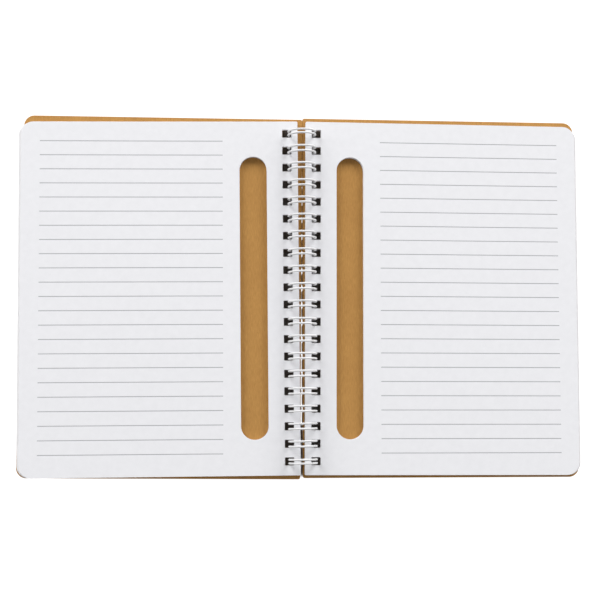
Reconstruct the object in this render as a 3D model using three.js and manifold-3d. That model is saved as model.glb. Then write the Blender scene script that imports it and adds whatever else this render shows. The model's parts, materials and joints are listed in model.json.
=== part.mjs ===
// A wire-bound lined notebook with kraft board covers, lying open at its middle.
// Millimetres, +Z up. The binding runs along Y, the covers spread along X, and the
// origin is on the table, under the middle of the binding.
//
// Each half of the open book is laid out flat first, in the binding's own frame:
// u runs outwards from the binding axis, y along it, and w is the height above it.

import * as THREE from 'three';
import { mergeVertices } from 'three/addons/utils/BufferGeometryUtils.js';
import Module from 'manifold-3d';

const wasm = await Module();
wasm.setup();

// ---- driving dimensions ------------------------------------------------------

// Binding: one wire bent into twin loops, three loops to the inch.
const LOOP_COUNT = 20;
const LOOP_PITCH = 25.4 / 3;
const WIRE_DIAMETER = 1;
const RING_OUTER_DIAMETER = 14.3;
const TWIN_SPACING = 2.45;           // between the two wires of one loop
const END_TWIN_SPACING = 1.75;       // the first and last loops are pinched narrower
const ROOT_BEND_RADIUS = 1.2;        // where a loop leaves the line that joins the loops
const JOINING_LINE_OFFSET = 0.4;     // from the ring's lowest point, towards the back cover
const TIP_OFFSET = 0.6;              // from the ring's lowest point, towards the front cover

// Covers.
const COVER_THICKNESS = 1.1;
const COVER_INNER_EDGE = 0.4;        // u of the edge that runs along the binding
const COVER_OUTER_EDGE = 137.2;
const COVER_HEIGHT = 177.2;
const COVER_OUTER_RADIUS = 5;
const COVER_INNER_RADIUS = 1;
const COVER_HOLES = { from: 3.1, to: 10.2 };  // wide enough to turn on the wire and stay clear of it
const COVER_UNDERSIDE = -4.67;       // w, as high as the wire under the cover needs
const FRONT_COVER_YAW = 0.55;        // degrees, outer edge towards +Y: the cover is loose on the wire
const BACK_COVER_YAW = -0.15;
const FRONT_COVER_TRIM = -0.6;       // how far along Y the board is cut off the middle of its holes

// Pages: a stack of thirty sheets on each side.
const STACK_THICKNESS = 2.4;
const STACK_CLEARANCE = 0.1;         // over the cover
const PAGE_INNER_EDGE = 1.6;
const PAGE_OUTER_EDGE = 136.9;       // of the top sheet
const PAGE_FAN = 1.4;                // how far the lowest sheet stands out past the top one
const PAGE_HEIGHT = 173.5;
const PAGE_TRIM = -0.33;             // how far along Y the sheets are cut off the middle of their holes
const PAGE_OUTER_RADIUS = 6;
const PAGE_INNER_RADIUS = 0.5;
const PAGE_HOLES = { from: 4.55, to: 9.2 };
const PAGE_YAW = -0.35;              // degrees, outer edge towards -Y
const HOLE_HEIGHT = 4.1;             // along the binding, in pages and covers alike

// The slot cut through the pages, in which a pen lies.
const SLOT_CENTRE = 23.6;
const SLOT_WIDTH = 13.5;
const SLOT_LENGTH = 139;
const SLOT_SHIFT = -0.5;             // along Y, off the middle of the holes

// Smoothness.
const CORNER_STEPS = 6;
const RING_STEPS = 12;
const TIP_STEPS = 4;
const WIRE_SIDES = 6;

// ---- values that follow from them ----------------------------------------------

const RING_RADIUS = (RING_OUTER_DIAMETER - WIRE_DIAMETER) / 2;
const BINDING_HEIGHT = RING_OUTER_DIAMETER / 2;
const STACK_UNDERSIDE = COVER_UNDERSIDE + COVER_THICKNESS + STACK_CLEARANCE;
const HALF_TILT = Math.asin((BINDING_HEIGHT + COVER_UNDERSIDE) / COVER_OUTER_EDGE);
const FAN_FROM = PAGE_OUTER_EDGE / 2; // of the stack's corners, only the outer ones lie beyond
const CUT_MARGIN = 1;                // how far a cut runs past what it cuts
const FRONT = -1;                    // the side of the binding that a half lies on
const BACK = 1;

const loopMiddle = (index) => (index - (LOOP_COUNT - 1) / 2) * LOOP_PITCH;
const radians = THREE.MathUtils.degToRad;

// ---- materials -------------------------------------------------------------------

const kraftBoard = new THREE.MeshStandardMaterial({ color: 0xbb925e, roughness: 0.9, metalness: 0 });
const writingPaper = new THREE.MeshStandardMaterial({ color: 0xedecf1, roughness: 0.85, metalness: 0 });
const coatedWire = new THREE.MeshStandardMaterial({ color: 0xf4efe8, roughness: 0.35, metalness: 0 });

// ---- outlines in u and y -----------------------------------------------------------

// A leaf's edge: a rectangle whose outer and inner corners have their own radii.
function leafOutline(inner, outer, bottom, top, outerRadius, innerRadius) {
  const quarter = Math.PI / 2;
  const outline = new THREE.Path();
  outline.moveTo(inner + innerRadius, bottom);
  outline.absarc(outer - outerRadius, bottom + outerRadius, outerRadius, -quarter, 0);
  outline.absarc(outer - outerRadius, top - outerRadius, outerRadius, 0, quarter);
  outline.absarc(inner + innerRadius, top - innerRadius, innerRadius, quarter, 2 * quarter);
  outline.absarc(inner + innerRadius, bottom + innerRadius, innerRadius, 2 * quarter, 3 * quarter);
  return outline;
}

function penSlotOutline() {
  const radius = SLOT_WIDTH / 2;
  const endCentre = SLOT_LENGTH / 2 - radius;
  const slot = new THREE.Path();
  slot.absarc(SLOT_CENTRE, SLOT_SHIFT + endCentre, radius, 0, Math.PI);
  slot.absarc(SLOT_CENTRE, SLOT_SHIFT - endCentre, radius, Math.PI, 2 * Math.PI);
  return slot;
}

// ---- solids ---------------------------------------------------------------------------

function toSolid(geometry) {
  geometry.deleteAttribute('normal');
  geometry.deleteAttribute('uv');
  const merged = mergeVertices(geometry);
  return new wasm.Manifold(new wasm.Mesh({
    numProp: 3,
    vertProperties: new Float32Array(merged.attributes.position.array),
    triVerts: new Uint32Array(merged.index.array),
  }));
}

function toGeometry(solid) {
  const { vertProperties, triVerts } = solid.getMesh();
  const geometry = new THREE.BufferGeometry();
  geometry.setAttribute('position', new THREE.BufferAttribute(vertProperties, 3));
  geometry.setIndex(new THREE.BufferAttribute(triVerts, 1));
  geometry.computeVertexNormals();
  return geometry;
}

// An outline given for the back cover's side, made a slab on either side.
function slab(side, outline, underside, thickness) {
  const points = outline.getPoints(CORNER_STEPS).map((p) => new THREE.Vector2(side * p.x, p.y));
  const shape = new THREE.Shape(points);
  const geometry = new THREE.ExtrudeGeometry(shape, { depth: thickness, bevelEnabled: false });
  return toSolid(geometry.translate(0, 0, underside));
}

// Cuts the row of binding holes through a flat leaf.
function punchHoles(leaf, side, holes, underside, thickness) {
  let punched = leaf;
  for (let index = 0; index < LOOP_COUNT; index += 1) {
    const height = thickness + 2 * CUT_MARGIN;
    const punch = new THREE.BoxGeometry(holes.to - holes.from, HOLE_HEIGHT, height);
    punch.translate(side * (holes.from + holes.to) / 2, loopMiddle(index), underside + thickness / 2);
    punched = punched.subtract(toSolid(punch));
  }
  return punched;
}

// Slants a stack's outer edge: the lowest sheet reaches furthest.
function fanOuterEdge(geometry, side) {
  const corners = geometry.attributes.position;
  const middle = STACK_UNDERSIDE + STACK_THICKNESS / 2;
  for (let index = 0; index < corners.count; index += 1) {
    const x = corners.getX(index);
    if (side * x > FAN_FROM && corners.getZ(index) < middle) corners.setX(index, x + side * PAGE_FAN);
  }
  geometry.computeVertexNormals();
  return geometry;
}

// The wire's path through its bends: straight from each station to the next.
class BentWire extends THREE.Curve {
  constructor(stations) {
    super();
    this.stations = stations;
    this.steps = stations.length - 1;
  }

  getPoint(t, target = new THREE.Vector3()) {
    const along = t * this.steps;
    const index = Math.min(Math.floor(along), this.steps - 1);
    return target.lerpVectors(this.stations[index], this.stations[index + 1], along - index);
  }

  // At a bend, halfway between the directions in and out of it.
  getTangent(t, target = new THREE.Vector3()) {
    const index = Math.round(t * this.steps);
    const here = this.stations[index];
    const before = this.stations[index - 1];
    const after = this.stations[index + 1];
    target.set(0, 0, 0);
    if (before) target.add(here.clone().sub(before).normalize());
    if (after) target.add(after.clone().sub(here).normalize());
    return target.normalize();
  }

  // One extrusion step for each straight.
  getUtoTmapping(u) {
    return u;
  }
}

// A point on the cylinder that the loops lie on. Its arc starts at the lowest point
// and runs up the back cover's side, over the top and down the front cover's side.
function onRing(arc, y) {
  const angle = arc / RING_RADIUS;
  return new THREE.Vector3(RING_RADIUS * Math.sin(angle), y, -RING_RADIUS * Math.cos(angle));
}

// One loop: up from the joining line, round to the tip, round its bend and back.
function loopStations(index) {
  const isFirst = index === 0;
  const isLast = index === LOOP_COUNT - 1;
  const middle = loopMiddle(index);
  const reach = (isFirst || isLast ? END_TWIN_SPACING : TWIN_SPACING) / 2;
  const root = JOINING_LINE_OFFSET + ROOT_BEND_RADIUS;
  const tip = 2 * Math.PI * RING_RADIUS - TIP_OFFSET - reach;
  const stations = [onRing(JOINING_LINE_OFFSET, middle - reach - (isFirst ? 0 : ROOT_BEND_RADIUS))];
  for (let step = 0; step <= RING_STEPS; step += 1) {
    stations.push(onRing(THREE.MathUtils.lerp(root, tip, step / RING_STEPS), middle - reach));
  }
  for (let step = 1; step < TIP_STEPS; step += 1) {
    const turn = Math.PI * step / TIP_STEPS;
    stations.push(onRing(tip + reach * Math.sin(turn), middle - reach * Math.cos(turn)));
  }
  for (let step = RING_STEPS; step >= 0; step -= 1) {
    stations.push(onRing(THREE.MathUtils.lerp(root, tip, step / RING_STEPS), middle + reach));
  }
  stations.push(onRing(JOINING_LINE_OFFSET, middle + reach + (isLast ? 0 : ROOT_BEND_RADIUS)));
  return stations;
}

function wireSection() {
  const corners = Array.from({ length: WIRE_SIDES }, (_, index) => {
    const angle = 2 * Math.PI * index / WIRE_SIDES;
    const radius = WIRE_DIAMETER / 2;
    return new THREE.Vector2(radius * Math.cos(angle), radius * Math.sin(angle));
  });
  return new THREE.Shape(corners);
}

function bindingGeometry() {
  const stations = Array.from({ length: LOOP_COUNT }, (_, index) => loopStations(index)).flat();
  const path = new BentWire(stations);
  return new THREE.ExtrudeGeometry(wireSection(), { steps: path.steps, extrudePath: path });
}

// ---- pieces -------------------------------------------------------------------------------

function piece(name, geometry, material) {
  const mesh = new THREE.Mesh(geometry, material);
  mesh.name = name;
  return mesh;
}

function cover(name, side, yaw, trim) {
  const outline = leafOutline(
    COVER_INNER_EDGE, COVER_OUTER_EDGE,
    trim - COVER_HEIGHT / 2, trim + COVER_HEIGHT / 2,
    COVER_OUTER_RADIUS, COVER_INNER_RADIUS,
  );
  const leaf = slab(side, outline, COVER_UNDERSIDE, COVER_THICKNESS);
  const solid = punchHoles(leaf, side, COVER_HOLES, COVER_UNDERSIDE, COVER_THICKNESS);
  const board = piece(name, toGeometry(solid), kraftBoard);
  board.rotation.z = side * radians(yaw);
  return board;
}

function pages(name, side) {
  const outline = leafOutline(
    PAGE_INNER_EDGE, PAGE_OUTER_EDGE,
    PAGE_TRIM - PAGE_HEIGHT / 2, PAGE_TRIM + PAGE_HEIGHT / 2,
    PAGE_OUTER_RADIUS, PAGE_INNER_RADIUS,
  );
  const leaf = slab(side, outline, STACK_UNDERSIDE, STACK_THICKNESS);
  const punched = punchHoles(leaf, side, PAGE_HOLES, STACK_UNDERSIDE, STACK_THICKNESS);
  const penSlot = slab(
    side, penSlotOutline(), STACK_UNDERSIDE - CUT_MARGIN, STACK_THICKNESS + 2 * CUT_MARGIN,
  );
  const geometry = fanOuterEdge(toGeometry(punched.subtract(penSlot)), side);
  const stack = piece(name, geometry, writingPaper);
  stack.rotation.z = side * radians(PAGE_YAW);
  return stack;
}

// Half of the open book, tilted down from the binding until the cover meets the table.
function half(side, ...leaves) {
  const group = new THREE.Group();
  group.position.z = BINDING_HEIGHT;
  group.rotation.y = side * HALF_TILT;
  group.add(...leaves);
  return group;
}

const notebook = new THREE.Group();
const binding = piece('wire_binding', bindingGeometry(), coatedWire);
binding.position.z = BINDING_HEIGHT;
notebook.add(binding);
notebook.add(half(
  FRONT,
  cover('front_cover', FRONT, FRONT_COVER_YAW, FRONT_COVER_TRIM),
  pages('left_pages', FRONT),
));
notebook.add(half(
  BACK,
  cover('back_cover', BACK, BACK_COVER_YAW, 0),
  pages('right_pages', BACK),
));

export default notebook;
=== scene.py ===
"""Finished look of a wire-bound notebook that lies open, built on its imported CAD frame.

Each half of the notebook is shaped flat first: x runs outwards from the binding,
y along it, and z is the height over the middle of the rings. half_placement() then
tilts a flat half into its place. Sizes are metres, as everywhere in Blender.
"""

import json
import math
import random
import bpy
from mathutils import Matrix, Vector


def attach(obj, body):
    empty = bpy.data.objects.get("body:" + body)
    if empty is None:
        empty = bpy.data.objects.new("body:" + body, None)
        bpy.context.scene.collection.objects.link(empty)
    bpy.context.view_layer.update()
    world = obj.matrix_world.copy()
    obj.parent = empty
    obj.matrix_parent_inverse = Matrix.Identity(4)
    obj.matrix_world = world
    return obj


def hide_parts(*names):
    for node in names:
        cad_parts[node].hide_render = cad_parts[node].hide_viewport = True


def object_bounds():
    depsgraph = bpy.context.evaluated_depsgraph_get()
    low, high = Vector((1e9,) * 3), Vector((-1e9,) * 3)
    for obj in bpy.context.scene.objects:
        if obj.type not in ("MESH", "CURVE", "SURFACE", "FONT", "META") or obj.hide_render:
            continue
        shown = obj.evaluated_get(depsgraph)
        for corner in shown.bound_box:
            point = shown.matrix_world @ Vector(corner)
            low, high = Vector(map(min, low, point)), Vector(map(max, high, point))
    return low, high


bl_info = {
    "name": "Wire-bound Notebook",
    "version": (1, 0, 0),
    "blender": (4, 5, 0),
    "location": "View3D > Sidebar > Notebook",
    "description": "Builds an open notebook with kraft covers on a twin-loop wire",
    "category": "Add Mesh",
}

import bmesh
import bpy
from bpy.props import FloatProperty, FloatVectorProperty, IntProperty, PointerProperty
from mathutils import Matrix, Vector

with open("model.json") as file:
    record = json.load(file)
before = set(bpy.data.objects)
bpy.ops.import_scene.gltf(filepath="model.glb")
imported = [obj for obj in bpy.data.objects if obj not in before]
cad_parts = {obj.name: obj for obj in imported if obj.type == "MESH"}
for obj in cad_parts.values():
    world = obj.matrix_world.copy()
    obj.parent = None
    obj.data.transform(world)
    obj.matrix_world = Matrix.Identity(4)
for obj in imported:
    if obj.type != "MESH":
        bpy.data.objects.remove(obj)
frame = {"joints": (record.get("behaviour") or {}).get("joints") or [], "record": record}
cad_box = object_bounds()

MM = 0.001
FRONT, BACK = -1, 1  # the side of the binding on which a half lies
MERGE_DISTANCE = 0.01 * MM
SHARP_ANGLE = math.radians(30)  # faces that meet at more than this keep a crisp edge
CORNER_SEGMENTS, SLOT_SEGMENTS, HOLE_SEGMENTS = 10, 12, 3  # in each rounded corner

# The rings' middle is the line that every cover and page stack turns about.
RING_MIDDLE = frame["joints"][0]["pos_m"][2]
# A half slopes down to its outer edge, and its resting face says by how much.
HALF_TILT = math.asin(abs(frame["record"]["mounts"][0]["axis"][0]))


def linear(hex_colour):
    """An sRGB hex colour as the linear RGBA that shaders work in."""
    channels = [int(hex_colour[i:i + 2], 16) / 255 for i in (1, 3, 5)]
    return [c / 12.92 if c <= 0.04045 else ((c + 0.055) / 1.055) ** 2.4 for c in channels] + [1]


def size(name, description, millimetres):
    """A length that the user can change, given by its usual value in millimetres."""
    return FloatProperty(
        name=name, description=description, default=millimetres * MM, unit="LENGTH", precision=5
    )


def colour(name, description, hex_colour):
    """A colour that the user can change, given by its usual sRGB hex value."""
    return FloatVectorProperty(
        name=name, description=description, default=linear(hex_colour), size=4, subtype="COLOR",
        min=0, max=1,
    )


# ---- settings -----------------------------------------------------------------------


class BindingSettings(bpy.types.PropertyGroup):
    """Sizes of the twin-loop wire and of the holes that it passes through."""

    loops: IntProperty(name="Loops", description="Twin loops along the binding", default=20, min=2)
    pitch: size("Pitch", "From one loop to the next, three to the inch", 25.4 / 3)
    wire: size("Wire", "Diameter of the coated wire", 1.0)
    ring: size("Ring", "Outside diameter of the closed loops", 14.3)
    twin: size("Twin spacing", "Between the two wires of one loop", 2.45)
    end_twin: size("End spacing", "Between the two wires of the first and last loops", 1.75)
    root_bend: size("Root bend", "Radius where a loop leaves the joining line", 1.2)
    joining_offset: size("Joining line", "From the lowest point towards the back cover", 0.4)
    tip_offset: size("Tips", "From the lowest point towards the front cover", 0.6)
    lean: size("Lean", "How far a loop slants along the binding at its widest", 0.1)
    hole_height: size("Hole height", "Of the punched holes, along the binding", 4.1)
    coat: colour("Coat", "Nylon coat on the wire", "#DCDCDD")


class CoverSettings(bpy.types.PropertyGroup):
    """Sizes and colours of the two kraft boards."""

    inner: size("Inner edge", "From the binding's middle", 0.4)
    outer: size("Outer edge", "From the binding's middle", 137.2)
    height: size("Height", "Along the binding", 177.2)
    thickness: size("Thickness", "Of the board", 1.1)
    outer_radius: size("Outer corners", "Radius", 5)
    inner_radius: size("Inner corners", "Radius", 1)
    hole_from: size("Holes from", "Near side of the holes", 3.1)
    hole_to: size("Holes to", "Far side of the holes", 10.2)
    underside: size("Underside", "Height over the rings' middle", -4.67)
    front_trim: size("Front trim", "How far the front board is cut off its holes' middle", -0.6)
    worn_edge: size("Worn edge", "Rounding of the board's cut edges", 0.14)
    front_yaw: FloatProperty(
        name="Front turn", description="Of the loose front cover, outer edge to the head",
        default=math.radians(0.55), subtype="ANGLE",
    )
    back_yaw: FloatProperty(
        name="Back turn", description="Of the loose back cover, outer edge to the head",
        default=math.radians(-0.15), subtype="ANGLE",
    )
    board: colour("Board", "Brown kraft board", "#C29251")
    fibre: colour("Fibres", "Darker fibres in the board", "#8E5F30")


class PageSettings(bpy.types.PropertyGroup):
    """Sizes and colours of the two stacks of ruled sheets."""

    sheets: IntProperty(name="Sheets", description="In each stack", default=30, min=2)
    thickness: size("Thickness", "Of a whole stack", 2.4)
    clearance: size("Clearance", "Between a stack and its cover", 0.1)
    inner: size("Inner edge", "From the binding's middle", 1.6)
    outer: size("Outer edge", "Of the top sheet, from the binding's middle", 136.9)
    fan: size("Fan", "How far the lowest sheet stands out past the top one", 1.4)
    height: size("Height", "Along the binding", 173.5)
    trim: size("Trim", "How far the sheets are cut off their holes' middle", -0.33)
    outer_radius: size("Outer corners", "Radius", 6)
    inner_radius: size("Inner corners", "Radius", 0.5)
    hole_from: size("Holes from", "Near side of the holes", 4.55)
    hole_to: size("Holes to", "Far side of the holes", 9.2)
    hole_corner: size("Hole corners", "Radius", 0.4)
    slot_middle: size("Slot middle", "Of the pen slot, from the binding's middle", 23.6)
    slot_width: size("Slot width", "Of the pen slot", 13.5)
    slot_length: size("Slot length", "Of the pen slot", 139)
    slot_shift: size("Slot shift", "Along the binding, off the middle of the holes", -0.5)
    yaw: FloatProperty(
        name="Turn", description="Of the stacks, outer edge to the head",
        default=math.radians(-0.35), subtype="ANGLE",
    )
    line_count: IntProperty(name="Lines", description="Ruled lines on a page", default=23, min=1)
    line_pitch: size("Line pitch", "From one ruled line to the next", 6.96)
    line_width: size("Line width", "Of a ruled line", 0.36)
    line_from: size("Lines from", "Near end of the ruled lines", 38.7)
    line_to: size("Lines to", "Far end of the ruled lines", 127.95)
    line_yaw: FloatProperty(
        name="Line turn", description="Of the ruled lines, outer end to the head",
        default=math.radians(-0.2), subtype="ANGLE",
    )
    paper: colour("Paper", "Uncoated writing paper", "#EDEDF0")
    edge: colour("Cut edge", "Guillotined edges of the sheets", "#F0EFF0")
    line: colour("Line", "Grey ruling ink", "#A0A0A4")


class StageSettings(bpy.types.PropertyGroup):
    """Camera, light and table."""

    distance: size("Distance", "From the camera to the point it looks at", 661)
    aim: FloatVectorProperty(
        name="Aim", description="Point in the middle of the view", size=3,
        default=(-1.04 * MM, -2.0 * MM, 5.0 * MM), unit="LENGTH",
    )
    forward_tilt: FloatProperty(
        name="Forward tilt", description="The camera stands this far in front of straight above",
        default=math.radians(5.093), subtype="ANGLE",
    )
    side_tilt: FloatProperty(
        name="Side tilt", description="The camera stands this far to the left of straight above",
        default=math.radians(3.784), subtype="ANGLE",
    )
    roll: FloatProperty(
        name="Roll", description="Of the camera about its own line of sight",
        default=math.radians(0.118), subtype="ANGLE",
    )
    focal_length: FloatProperty(
        name="Focal length", description="In millimetres, on a 36 mm wide sensor", default=81,
        unit="CAMERA",
    )
    table: colour("Table", "Opal table top, where no light comes through it", "#7C7C7C")
    table_glow: colour("Table glow", "Light that comes through the table top", "#FAFAFA")
    sky: FloatProperty(name="Sky", description="Strength of the even white light", default=0.26)
    glow: FloatProperty(
        name="Glow", description="Of the table, which is lit from below", default=1.05
    )


# ---- nodes and materials ----------------------------------------------------------------


def add_node(tree, kind, inputs=None, **settings):
    """Adds a node, sets its properties, and sets or links each input named in inputs."""
    node = tree.nodes.new(kind)
    for name, value in settings.items():
        setattr(node, name, value)
    for socket, value in (inputs or {}).items():
        if isinstance(value, bpy.types.NodeSocket):
            tree.links.new(value, node.inputs[socket])
        else:
            node.inputs[socket].default_value = value
    return node


def start_material(name, turn=0.0):
    """A material without nodes but for the piece's own coordinates, in mm, turned about Z."""
    material = bpy.data.materials.new(name)
    material.use_nodes = True
    tree = material.node_tree
    tree.nodes.clear()
    coordinates = add_node(tree, "ShaderNodeTexCoord")
    millimetres = add_node(tree, "ShaderNodeMapping", {
        "Vector": coordinates.outputs["Object"],
        "Rotation": (0, 0, turn),
        "Scale": (1 / MM, 1 / MM, 1 / MM),
    })
    return material, tree, millimetres.outputs["Vector"]


def finish_material(tree, shader):
    """Puts the shader on the surface."""
    add_node(tree, "ShaderNodeOutputMaterial", {"Surface": shader.outputs["BSDF"]})


def nylon_coated_steel(binding):
    """Steel wire in a white nylon coat: milky, smooth, with a soft broad highlight."""
    material, tree, place = start_material("nylon_coated_steel_wire")
    # The dipped coat is a little uneven, about every 2 mm.
    swell = add_node(tree, "ShaderNodeTexNoise", {"Vector": place, "Scale": 1 / 2, "Detail": 2})
    bump = add_node(tree, "ShaderNodeBump", {
        "Strength": 0.15, "Distance": 0.05 * MM, "Height": swell.outputs["Fac"],
    })
    shader = add_node(tree, "ShaderNodeBsdfPrincipled", {
        "Base Color": binding.coat, "Roughness": 0.45, "IOR": 1.53,
        "Specular IOR Level": 0.35, "Normal": bump.outputs["Normal"],
    })
    finish_material(tree, shader)
    return material


def kraft_board(cover, name, fibre_length, fibre_width):
    """Unbleached kraft: matt brown with long fibres, cloudy mottling and dark specks."""
    material, tree, place = start_material(name)
    # The pulp lies unevenly, in clouds about 14 mm across.
    clouds = add_node(tree, "ShaderNodeTexNoise", {"Vector": place, "Scale": 1 / 14, "Detail": 3})
    # Fibres run along the board's machine direction, which is the binding's. Real ones
    # are some 0.03 mm wide, and are drawn about ten times as wide so that they show.
    stretch = add_node(tree, "ShaderNodeMapping", {
        "Vector": place, "Scale": (1 / fibre_width, 1 / fibre_length, 1 / fibre_width),
    })
    fibres = add_node(tree, "ShaderNodeTexNoise", {
        "Vector": stretch.outputs["Vector"], "Scale": 1, "Detail": 4, "Roughness": 0.65,
    })
    # Bark specks, one in about every 5 mm and drawn about 0.5 mm wide so that they show.
    specks = add_node(tree, "ShaderNodeTexVoronoi", {"Vector": place, "Scale": 1 / 5})
    speck_mask = add_node(tree, "ShaderNodeMapRange", {
        "Value": specks.outputs["Distance"],
        "From Min": 0.03, "From Max": 0.08, "To Min": 0.45, "To Max": 0.0,
    })
    tone = add_node(tree, "ShaderNodeMath", {
        0: clouds.outputs["Fac"], 1: 0.3, 2: fibres.outputs["Fac"],
    }, operation="MULTIPLY_ADD")
    fibre_mask = add_node(tree, "ShaderNodeMapRange", {
        "Value": tone.outputs["Value"],
        "From Min": 0.42, "From Max": 0.92, "To Min": 0.0, "To Max": 0.55,
    })
    darkness = add_node(tree, "ShaderNodeMath", {
        0: fibre_mask.outputs["Result"], 1: speck_mask.outputs["Result"],
    }, operation="MAXIMUM")
    colour_mix = add_node(tree, "ShaderNodeMix", {
        "Factor": darkness.outputs["Value"], "A": cover.board, "B": cover.fibre,
    }, data_type="RGBA")
    bump = add_node(tree, "ShaderNodeBump", {
        "Strength": 0.35, "Distance": 0.05 * MM, "Height": fibres.outputs["Fac"],
    })
    shader = add_node(tree, "ShaderNodeBsdfPrincipled", {
        "Base Color": colour_mix.outputs["Result"], "Roughness": 0.88, "IOR": 1.45,
        "Specular IOR Level": 0.3, "Normal": bump.outputs["Normal"],
    })
    finish_material(tree, shader)
    return material


def ruled_paper(pages, side):
    """Uncoated writing paper: bright, quite matt, with thin grey lines printed on it."""
    name = "ruled_writing_paper_left" if side == FRONT else "ruled_writing_paper_right"
    material, tree, place = start_material(name, turn=-side * pages.line_yaw)
    split = add_node(tree, "ShaderNodeSeparateXYZ", {"Vector": place})
    across, along = split.outputs["X"], split.outputs["Y"]
    pitch = pages.line_pitch / MM
    near, far = pages.line_from / MM, pages.line_to / MM
    # How far a point is from the nearest line: lines lie at whole numbers of the pitch.
    off_line = add_node(tree, "ShaderNodeMath", {0: along, 1: pitch / 2}, operation="PINGPONG")
    on_line = add_node(tree, "ShaderNodeMath", {
        0: off_line.outputs["Value"], 1: pages.line_width / MM / 2,
    }, operation="LESS_THAN")
    on_block = add_node(tree, "ShaderNodeMath", {
        0: along, 1: 0, 2: pages.line_count / 2 * pitch,
    }, operation="COMPARE")
    in_margins = add_node(tree, "ShaderNodeMath", {
        0: across, 1: side * (near + far) / 2, 2: (far - near) / 2,
    }, operation="COMPARE")
    printed = add_node(tree, "ShaderNodeMath", {
        0: on_line.outputs["Value"], 1: on_block.outputs["Value"],
    }, operation="MULTIPLY")
    ink = add_node(tree, "ShaderNodeMath", {
        0: printed.outputs["Value"], 1: in_margins.outputs["Value"],
    }, operation="MULTIPLY")
    # Wove paper is faintly cloudy, with clots about 3 mm across.
    clots = add_node(tree, "ShaderNodeTexNoise", {"Vector": place, "Scale": 1 / 3, "Detail": 3})
    cloudy = add_node(tree, "ShaderNodeMapRange", {
        "Value": clots.outputs["Fac"], "To Min": 0.0, "To Max": 0.12,
    })
    sheet_colour = add_node(tree, "ShaderNodeMix", {
        "Factor": cloudy.outputs["Result"], "A": pages.paper, "B": pages.line,
    }, data_type="RGBA")
    printed_colour = add_node(tree, "ShaderNodeMix", {
        "Factor": ink.outputs["Value"], "A": sheet_colour.outputs["Result"], "B": pages.line,
    }, data_type="RGBA")
    # The felt side's tooth is about 0.3 mm across.
    tooth = add_node(tree, "ShaderNodeTexNoise", {"Vector": place, "Scale": 1 / 0.3, "Detail": 2})
    bump = add_node(tree, "ShaderNodeBump", {
        "Strength": 0.2, "Distance": 0.01 * MM, "Height": tooth.outputs["Fac"],
    })
    shader = add_node(tree, "ShaderNodeBsdfPrincipled", {
        "Base Color": printed_colour.outputs["Result"], "Roughness": 0.85, "IOR": 1.5,
        "Specular IOR Level": 0.3, "Normal": bump.outputs["Normal"],
    })
    finish_material(tree, shader)
    return material


def guillotined_paper(pages):
    """Cut edges of the sheets: a shade duller than the paper, with fine dull streaks."""
    material, tree, place = start_material("guillotined_paper_edge")
    # Streaks follow the sheets, each 0.08 mm thick, and break up every 6 mm or so.
    stretch = add_node(tree, "ShaderNodeMapping", {
        "Vector": place, "Scale": (1 / 6, 1 / 6, 1 / 0.08),
    })
    streaks = add_node(tree, "ShaderNodeTexNoise", {
        "Vector": stretch.outputs["Vector"], "Scale": 1, "Detail": 2,
    })
    dull = add_node(tree, "ShaderNodeMapRange", {
        "Value": streaks.outputs["Fac"], "From Min": 0.35, "From Max": 0.75,
        "To Min": 0.0, "To Max": 0.35,
    })
    mix = add_node(tree, "ShaderNodeMix", {
        "Factor": dull.outputs["Result"], "A": pages.edge, "B": pages.line,
    }, data_type="RGBA")
    shader = add_node(tree, "ShaderNodeBsdfPrincipled", {
        "Base Color": mix.outputs["Result"], "Roughness": 0.92, "IOR": 1.5,
        "Specular IOR Level": 0.2,
    })
    finish_material(tree, shader)
    return material


def matt_table(stage):
    """Opal acrylic, matt and milky, glowing as if lit from below, with painted shade that puts the
    glow out where something covers it.
    """
    material, tree, place = start_material("matt_opal_acrylic")
    clouds = add_node(tree, "ShaderNodeTexNoise", {"Vector": place, "Scale": 1 / 400})
    soft = add_node(tree, "ShaderNodeMapRange", {
        "Value": clouds.outputs["Fac"], "To Min": 0.8, "To Max": 0.9,
    })
    # Painted shade: the glow goes out wherever something lies within 12 mm over the table, however
    # the covers are turned, so the table under the notebook stays dark.
    openness = add_node(tree, "ShaderNodeAmbientOcclusion", {"Distance": 12 * MM}, samples=32)
    glow_with_painted_shade = add_node(tree, "ShaderNodeMapRange", {
        "Value": openness.outputs["AO"],
        "From Min": 0.38, "From Max": 0.5, "To Min": 0.0, "To Max": stage.glow,
    })
    # A painted strip of glow lies under the slit between the two covers, except near the ends, and
    # stays lit where the notebook hides the rest of the glow.
    strip_middle, strip_half_length = -4.0, 59.0
    split = add_node(tree, "ShaderNodeSeparateXYZ", {"Vector": place})
    across = add_node(tree, "ShaderNodeMath", {0: split.outputs["X"]}, operation="ABSOLUTE")
    painted_strip_glow = add_node(tree, "ShaderNodeMapRange", {
        "Value": across.outputs["Value"],
        "From Min": 0.4, "From Max": 1.0, "To Min": stage.glow, "To Max": 0.0,
    })
    clear_of_ends = add_node(tree, "ShaderNodeMath", {
        0: split.outputs["Y"], 1: strip_middle, 2: strip_half_length,
    }, operation="COMPARE")
    painted_slit_glow = add_node(tree, "ShaderNodeMath", {
        0: painted_strip_glow.outputs["Result"], 1: clear_of_ends.outputs["Value"],
    }, operation="MULTIPLY")
    glow = add_node(tree, "ShaderNodeMath", {
        0: glow_with_painted_shade.outputs["Result"], 1: painted_slit_glow.outputs["Value"],
    }, operation="MAXIMUM")
    shader = add_node(tree, "ShaderNodeBsdfPrincipled", {
        "Base Color": stage.table, "Roughness": soft.outputs["Result"],
        "Specular IOR Level": 0.2, "Emission Color": stage.table_glow,
        "Emission Strength": glow.outputs["Value"],
    })
    finish_material(tree, shader)
    return material


# ---- shapes -------------------------------------------------------------------------------


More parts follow.
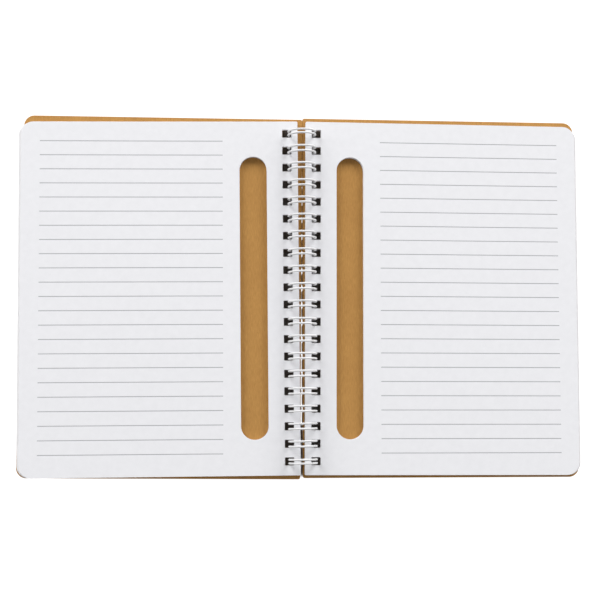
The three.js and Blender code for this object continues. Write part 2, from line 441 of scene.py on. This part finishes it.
def half_placement(side, yaw):
    """Takes a flat half to its place: turned on the wire, and tilted down to the table."""
    return (
        Matrix.Translation((0, 0, RING_MIDDLE))
        @ Matrix.Rotation(side * HALF_TILT, 4, "Y")
        @ Matrix.Rotation(side * yaw, 4, "Z")
    )


def add_outline(bm, low, high, inner_radius, outer_radius, segments):
    """Adds a closed line round a rectangle, rounded differently at its inner and outer ends."""
    corners = bmesh.ops.create_grid(bm, x_segments=1, y_segments=1, size=0.5)["verts"]
    bmesh.ops.scale(bm, vec=(high[0] - low[0], high[1] - low[1], 1), verts=corners)
    middle = Vector(((low[0] + high[0]) / 2, (low[1] + high[1]) / 2, 0))
    bmesh.ops.translate(bm, vec=middle, verts=corners)
    inner = [v for v in corners if v.co.x < middle.x]
    outer = [v for v in corners if v.co.x > middle.x]
    for rounded, radius in ((inner, inner_radius), (outer, outer_radius)):
        bmesh.ops.bevel(
            bm, geom=rounded, offset=radius, offset_type="OFFSET", segments=segments,
            profile=0.5, affect="VERTICES", clamp_overlap=False, material=-1,
        )
    bmesh.ops.delete(bm, geom=bm.faces[:], context="FACES_ONLY")
    bmesh.ops.remove_doubles(bm, verts=bm.verts[:], dist=MERGE_DISTANCE)


def add_binding_holes(bm, binding, near, far, corner_radius):
    """Adds the outlines of the row of punched holes."""
    for index in range(binding.loops):
        y = (index - (binding.loops - 1) / 2) * binding.pitch
        low = (near, y - binding.hole_height / 2)
        high = (far, y + binding.hole_height / 2)
        add_outline(bm, low, high, corner_radius, corner_radius, HOLE_SEGMENTS)


def fill_outlines(bm, underside):
    """Fills between the outlines, leaving the inner ones open, and lifts the result."""
    bmesh.ops.triangle_fill(bm, use_beauty=True, use_dissolve=False, edges=bm.edges[:])
    bmesh.ops.translate(bm, vec=(0, 0, underside), verts=bm.verts[:])


def cut_into_cells(bm, cell, length, height):
    """Cuts the flat leaf across in both directions, so that it can bend between the cuts."""
    cuts = [((step * cell, 0, 0), (1, 0, 0)) for step in range(1, int(length / cell) + 1)]
    rows = int(height / 2 / cell)
    cuts += [((0, (step + 0.5) * cell, 0), (0, 1, 0)) for step in range(-rows - 1, rows + 1)]
    for point, direction in cuts:
        bmesh.ops.bisect_plane(
            bm, geom=bm.verts[:] + bm.edges[:] + bm.faces[:], dist=MERGE_DISTANCE,
            plane_co=point, plane_no=direction,
        )
    bmesh.ops.triangulate(bm, faces=bm.faces[:])
    bmesh.ops.beautify_fill(bm, faces=bm.faces[:], edges=bm.edges[:])


def grow(bm, top_faces, rise):
    """Extrudes the top faces upwards, and returns the new top faces and their corners."""
    result = bmesh.ops.extrude_face_region(bm, geom=top_faces)["geom"]
    new_faces = [g for g in result if isinstance(g, bmesh.types.BMFace)]
    new_verts = [g for g in result if isinstance(g, bmesh.types.BMVert)]
    bmesh.ops.translate(bm, vec=(0, 0, rise), verts=new_verts)
    return new_faces, new_verts


def smoothstep(low, high, value):
    """From 0 at low to 1 at high, with a soft start and end."""
    t = min(max((value - low) / (high - low), 0), 1)
    return t * t * (3 - 2 * t)


def add_piece(name, mesh, materials, body, node):
    """Shows a finished mesh as a piece that stands for a CAD node and moves with its body."""
    for material in materials:
        mesh.materials.append(material)
    piece = bpy.data.objects.new(name, mesh)
    bpy.context.scene.collection.objects.link(piece)
    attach(piece, body)
    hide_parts(node)


def close_mesh(name, bm, side, yaw):
    """Mirrors a flat half for its side, places it, and turns it into a closed mesh."""
    bm.transform(half_placement(side, yaw) @ Matrix.Diagonal((side, 1, 1, 1)))
    bmesh.ops.recalc_face_normals(bm, faces=bm.faces[:])
    for face in bm.faces:
        face.smooth = True
    mesh = bpy.data.meshes.new(name)
    bm.to_mesh(mesh)
    bm.free()
    mesh.set_sharp_from_angle(angle=SHARP_ANGLE)
    return mesh


# ---- operators ------------------------------------------------------------------------------


class NOTEBOOK_OT_wire(bpy.types.Operator):
    """Bends one wire into the row of twin loops that holds the notebook"""

    bl_idname = "notebook.wire"
    bl_label = "Bend the Wire"
    bl_options = {"REGISTER", "UNDO"}

    ring_steps = 44
    bend_steps = 6
    tip_steps = 12
    wire_roundness = 4
    seed = 14
    # Hand-closed loops differ a little, by up to this many millimetres.
    slant_play = 0.06
    spread_play = 0.06
    least_growth, most_growth = -0.06, 0.02

    def execute(self, context):
        binding = context.scene.notebook_binding
        self.radius = (binding.ring - binding.wire) / 2
        self.dice = random.Random(self.seed)
        curve = bpy.data.curves.new("twin_loop_wire", "CURVE")
        curve.dimensions = "3D"
        curve.bevel_depth = binding.wire / 2
        curve.bevel_resolution = self.wire_roundness
        curve.use_fill_caps = True
        points = []
        for index in range(binding.loops):
            points += self.loop_points(binding, index)
        path = curve.splines.new("POLY")
        path.points.add(len(points) - 1)
        for point, place in zip(path.points, points):
            point.co = (*place, 1)
        path.use_smooth = True
        wire = bpy.data.objects.new("wire_path", curve)
        context.scene.collection.objects.link(wire)
        evaluated = wire.evaluated_get(context.evaluated_depsgraph_get())
        mesh = bpy.data.meshes.new_from_object(evaluated)
        bpy.data.objects.remove(wire)
        mesh.materials.clear()
        add_piece(
            "twin_loop_wire", mesh, [nylon_coated_steel(binding)],
            "binding", "wire_binding",
        )
        return {"FINISHED"}

    def on_ring(self, arc, y, lean, radius):
        """A point whose arc starts under the binding and rises on the back cover's side."""
        angle = arc / self.radius
        return Vector((
            radius * math.sin(angle),
            y + lean * math.sin(angle),
            RING_MIDDLE - radius * math.cos(angle),
        ))

    def loop_points(self, binding, index):
        """One twin loop: out of the joining line, round to the tip, and back again."""
        is_first, is_last = index == 0, index == binding.loops - 1
        middle = (index - (binding.loops - 1) / 2) * binding.pitch
        reach = (binding.end_twin if is_first or is_last else binding.twin) / 2
        bend = binding.root_bend
        root = binding.joining_offset + bend
        tip = 2 * math.pi * self.radius - binding.tip_offset - reach
        lean = binding.lean + self.dice.uniform(-self.slant_play, self.slant_play) * MM
        spread = self.dice.uniform(-self.spread_play, self.spread_play) * MM
        radius = self.radius + self.dice.uniform(self.least_growth, self.most_growth) * MM
        straight = [(binding.joining_offset, -reach)]
        turns = [math.pi / 2 * step / self.bend_steps for step in range(self.bend_steps)]
        bent = [(root - bend * math.cos(t), bend * math.sin(t) - bend - reach) for t in turns]
        way_out = [
            (root + (tip - root) * step / self.ring_steps, -reach)
            for step in range(self.ring_steps + 1)
        ]
        turns = [math.pi * step / self.tip_steps for step in range(1, self.tip_steps)]
        round_tip = [(tip + reach * math.sin(t), -reach * math.cos(t)) for t in turns]
        path = (straight if is_first else bent) + way_out + round_tip
        path += self.mirrored(way_out) + self.mirrored(straight if is_last else bent)
        places = []
        for arc, across in path:
            # The two wires spread apart over the top, where the ring is open widest.
            over_top = math.sin(arc / self.radius / 2) ** 2
            across += math.copysign(spread * over_top, across)
            fade = smoothstep(0, root * 2, arc)
            grown = self.radius + (radius - self.radius) * over_top
            places.append(self.on_ring(arc, middle + across, lean * fade, grown))
        return places

    def mirrored(self, path):
        """The same path on the loop's other wire, followed backwards."""
        return [(arc, -across) for arc, across in reversed(path)]


class NOTEBOOK_OT_covers(bpy.types.Operator):
    """Cuts and punches the two kraft board covers"""

    bl_idname = "notebook.covers"
    bl_label = "Cut the Covers"
    bl_options = {"REGISTER", "UNDO"}

    hole_corner = 0.4 * MM
    rim_angle = math.radians(60)  # the cut edges meet the wide faces more sharply than this
    level_normal = 0.99  # the height of a face normal past which the face is a wide one

    def execute(self, context):
        cover = context.scene.notebook_cover
        board = kraft_board(cover, "kraft_board_face", fibre_length=3.0, fibre_width=0.35)
        cut_edge = kraft_board(cover, "kraft_board_cut_edge", fibre_length=2.0, fibre_width=0.18)
        for side, yaw, trim, body in (
            (FRONT, cover.front_yaw, cover.front_trim, "front_cover"),
            (BACK, cover.back_yaw, 0, "back_cover"),
        ):
            mesh = self.board_mesh(context, side, yaw, trim, f"{body}_board")
            add_piece(f"{body}_board", mesh, [board, cut_edge], body, body)
        return {"FINISHED"}

    def board_mesh(self, context, side, yaw, trim, name):
        """A board with its punched holes and slightly rounded cut edges."""
        cover = context.scene.notebook_cover
        bm = bmesh.new()
        add_outline(
            bm, (cover.inner, trim - cover.height / 2), (cover.outer, trim + cover.height / 2),
            cover.inner_radius, cover.outer_radius, CORNER_SEGMENTS,
        )
        binding = context.scene.notebook_binding
        add_binding_holes(bm, binding, cover.hole_from, cover.hole_to, self.hole_corner)
        fill_outlines(bm, cover.underside)
        grow(bm, bm.faces[:], cover.thickness)
        bmesh.ops.recalc_face_normals(bm, faces=bm.faces[:])
        rims = [e for e in bm.edges if e.calc_face_angle() > self.rim_angle]
        rims = [e for e in rims if abs(e.verts[0].co.z - e.verts[1].co.z) < MERGE_DISTANCE]
        bmesh.ops.bevel(
            bm, geom=rims, offset=cover.worn_edge, offset_type="OFFSET", segments=2,
            profile=0.5, affect="EDGES", clamp_overlap=False, material=-1,
        )
        bm.normal_update()
        for face in bm.faces:
            face.material_index = 0 if abs(face.normal.z) > self.level_normal else 1
        mesh = close_mesh(name, bm, side, yaw)
        # Only the rounded rims are shaded as curved: the wide faces are flat.
        for polygon in mesh.polygons:
            polygon.use_smooth = polygon.material_index == 1
        return mesh


class NOTEBOOK_OT_pages(bpy.types.Operator):
    """Stacks, punches and slots the ruled sheets on both sides"""

    bl_idname = "notebook.pages"
    bl_label = "Stack the Pages"
    bl_options = {"REGISTER", "UNDO"}

    cell = 11 * MM
    bend_from = 90 * MM  # where the sheets start to fan out
    seed = 30
    edge_share, step_share = 0.78, 0.22  # of a sheet's thickness
    # How far a sheet may lie off its place, across and along the binding, in millimetres.
    play_across, play_along = 0.07, 0.12
    # What loose paper adds to the height of the top sheet, in millimetres.
    lift, wave_height, ripple_height = 0.12, 0.09, 0.04

    def execute(self, context):
        pages = context.scene.notebook_pages
        edge = guillotined_paper(pages)
        for side, body in ((FRONT, "left_pages"), (BACK, "right_pages")):
            name = "left_page_stack" if side == FRONT else "right_page_stack"
            mesh = self.stack_mesh(context, side, name)
            add_piece(name, mesh, [ruled_paper(pages, side), edge], body, body)
        return {"FINISHED"}

    def stack_mesh(self, context, side, name):
        """One solid stack whose sides show every sheet."""
        pages = context.scene.notebook_pages
        cover = context.scene.notebook_cover
        underside = cover.underside + cover.thickness + pages.clearance
        bm = bmesh.new()
        add_outline(
            bm, (pages.inner, pages.trim - pages.height / 2),
            (pages.outer, pages.trim + pages.height / 2),
            pages.inner_radius, pages.outer_radius, CORNER_SEGMENTS,
        )
        binding = context.scene.notebook_binding
        add_binding_holes(bm, binding, pages.hole_from, pages.hole_to, pages.hole_corner)
        half_slot = pages.slot_width / 2
        add_outline(
            bm, (pages.slot_middle - half_slot, pages.slot_shift - pages.slot_length / 2),
            (pages.slot_middle + half_slot, pages.slot_shift + pages.slot_length / 2),
            half_slot, half_slot, SLOT_SEGMENTS,
        )
        fill_outlines(bm, underside)
        cut_into_cells(bm, self.cell, pages.outer, pages.height)
        for vert in bm.verts:
            vert.co.x += pages.fan * smoothstep(self.bend_from, pages.outer, vert.co.x)
        self.pile_up(bm, pages, side)
        self.settle(bm, pages, underside, side)
        return close_mesh(name, bm, side, pages.yaw)

    def pile_up(self, bm, pages, side):
        """Grows the lowest sheet into the stack: a straight edge for each, then a small step."""
        dice = random.Random(self.seed + side)
        sheet = pages.thickness / pages.sheets
        edge_rise, step_rise = self.edge_share * sheet, self.step_share * sheet
        fan_step = pages.fan / (pages.sheets - 1)
        underside = top = bm.faces[:]
        shift = Vector((0, 0, 0))
        for index in range(pages.sheets):
            previous = top
            top, _ = grow(bm, top, edge_rise)
            if index:
                bmesh.ops.delete(bm, geom=previous, context="FACES")
            if index == pages.sheets - 1:
                break
            previous = top
            top, corners = grow(bm, top, step_rise)
            bmesh.ops.delete(bm, geom=previous, context="FACES")
            # Each sheet lies a little off the one below, because its holes are loose.
            off_across = dice.uniform(-self.play_across, self.play_across) * MM
            off_along = dice.uniform(-self.play_along, self.play_along) * MM
            target = Vector((off_across, off_along, 0))
            bmesh.ops.translate(bm, vec=target - shift, verts=corners)
            shift = target
            for vert in corners:
                vert.co.x -= fan_step * smoothstep(self.bend_from, pages.outer, vert.co.x)
        for face in bm.faces:
            face.material_index = 1
        for face in (*underside, *top):
            face.material_index = 0

    def settle(self, bm, pages, underside, side):
        """Gives the upper sheets the slight lift and waves of loose paper."""
        for vert in bm.verts:
            height = (vert.co.z - underside) / pages.thickness
            x, y = vert.co.x / MM, vert.co.y / MM
            wave = math.sin(x / 31 + side) * math.cos(y / 27 - 0.6 * side)
            ripple = math.sin(x / 17 - y / 23 + 2 * side)
            rise = self.lift + self.wave_height * wave + self.ripple_height * ripple
            vert.co.z += max(height, 0) ** 2 * rise * MM


class NOTEBOOK_OT_stage(bpy.types.Operator):
    """Sets the table, the lights and the camera"""

    bl_idname = "notebook.stage"
    bl_label = "Set the Stage"
    bl_options = {"REGISTER", "UNDO"}

    table_radius = 12
    table_segments = 128
    table_gap = 0.02 * MM  # keeps the table clear of what rests on it
    nearest_seen = 0.01
    # Each softbox's name, place and width in metres, and watts. All face the notebook.
    softboxes = (
        ("head_left_softbox", (-2.15, 2.76, 1.94), 2.2, 109),
        ("head_right_softbox", (2.15, 2.76, 1.94), 2.2, 109),
        ("foot_softbox", (0, -2.54, 1.18), 1.4, 8),
        ("left_softbox", (-1.6, 0.6, 0.5), 0.7, 6),
        ("right_softbox", (1.6, 0.6, 0.5), 0.7, 6),
    )

    def execute(self, context):
        scene = context.scene
        stage = scene.notebook_stage
        self.add_table(scene, stage)
        world = bpy.data.worlds.new("white_surround")
        world.use_nodes = True
        background = world.node_tree.nodes["Background"]
        background.inputs["Color"].default_value = (1, 1, 1, 1)
        background.inputs["Strength"].default_value = stage.sky
        scene.world = world
        scene.view_settings.view_transform = "Standard"
        for name, place, width, power in self.softboxes:
            self.add_light(scene, name, Vector(place), width, power)
        self.add_camera(scene, stage)
        return {"FINISHED"}

    def add_table(self, scene, stage):
        """A round table top, just under the lowest point of the notebook."""
        bm = bmesh.new()
        bmesh.ops.create_circle(
            bm, cap_ends=True, segments=self.table_segments, radius=self.table_radius
        )
        height = cad_box[0][2] - self.table_gap
        bmesh.ops.translate(bm, vec=(0, 0, height), verts=bm.verts[:])
        mesh = bpy.data.meshes.new("table_top")
        bm.to_mesh(mesh)
        bm.free()
        mesh.materials.append(matt_table(stage))
        table = bpy.data.objects.new("table_top", mesh)
        scene.collection.objects.link(table)

    def add_light(self, scene, name, place, width, power):
        """A round softbox that faces the notebook."""
        light = bpy.data.lights.new(name, "AREA")
        light.shape = "DISK"
        light.size = width
        light.energy = power
        lamp = bpy.data.objects.new(name, light)
        lamp.location = place
        lamp.rotation_euler = (-place).to_track_quat("-Z", "Y").to_euler()
        scene.collection.objects.link(lamp)

    def add_camera(self, scene, stage):
        """The camera, nearly straight above."""
        lens = bpy.data.cameras.new("camera")
        lens.sensor_width = 36
        lens.lens = stage.focal_length
        lens.clip_start = self.nearest_seen
        turn = (
            Matrix.Rotation(stage.forward_tilt, 4, "X")
            @ Matrix.Rotation(-stage.side_tilt, 4, "Y")
            @ Matrix.Rotation(stage.roll, 4, "Z")
        )
        camera = bpy.data.objects.new("camera", lens)
        place = Vector(stage.aim) + turn @ Vector((0, 0, stage.distance))
        camera.matrix_world = Matrix.Translation(place) @ turn
        scene.collection.objects.link(camera)
        scene.camera = camera


# ---- panel and registration ---------------------------------------------------------------


class NOTEBOOK_PT_builder(bpy.types.Panel):
    """Lists the pieces of the notebook and their settings"""

    bl_label = "Wire-bound Notebook"
    bl_idname = "NOTEBOOK_PT_builder"
    bl_space_type = "VIEW_3D"
    bl_region_type = "UI"
    bl_category = "Notebook"

    def draw(self, context):
        for operator, settings in STEPS:
            box = self.layout.box()
            box.operator(operator.bl_idname)
            group = getattr(context.scene, settings)
            for name in group.bl_rna.properties.keys():
                if name not in ("rna_type", "name"):
                    box.prop(group, name)


SETTINGS = {
    "notebook_binding": BindingSettings,
    "notebook_cover": CoverSettings,
    "notebook_pages": PageSettings,
    "notebook_stage": StageSettings,
}
STEPS = (
    (NOTEBOOK_OT_wire, "notebook_binding"),
    (NOTEBOOK_OT_covers, "notebook_cover"),
    (NOTEBOOK_OT_pages, "notebook_pages"),
    (NOTEBOOK_OT_stage, "notebook_stage"),
)
CLASSES = (*SETTINGS.values(), *(operator for operator, _ in STEPS), NOTEBOOK_PT_builder)


def register():
    for cls in CLASSES:
        bpy.utils.register_class(cls)
    for name, group in SETTINGS.items():
        setattr(bpy.types.Scene, name, PointerProperty(type=group))


def unregister():
    for name in SETTINGS:
        delattr(bpy.types.Scene, name)
    for cls in reversed(CLASSES):
        bpy.utils.unregister_class(cls)


def main():
    register()
    bpy.ops.notebook.wire()
    bpy.ops.notebook.covers()
    bpy.ops.notebook.pages()
    bpy.ops.notebook.stage()


if __name__ == "__main__":
    main()
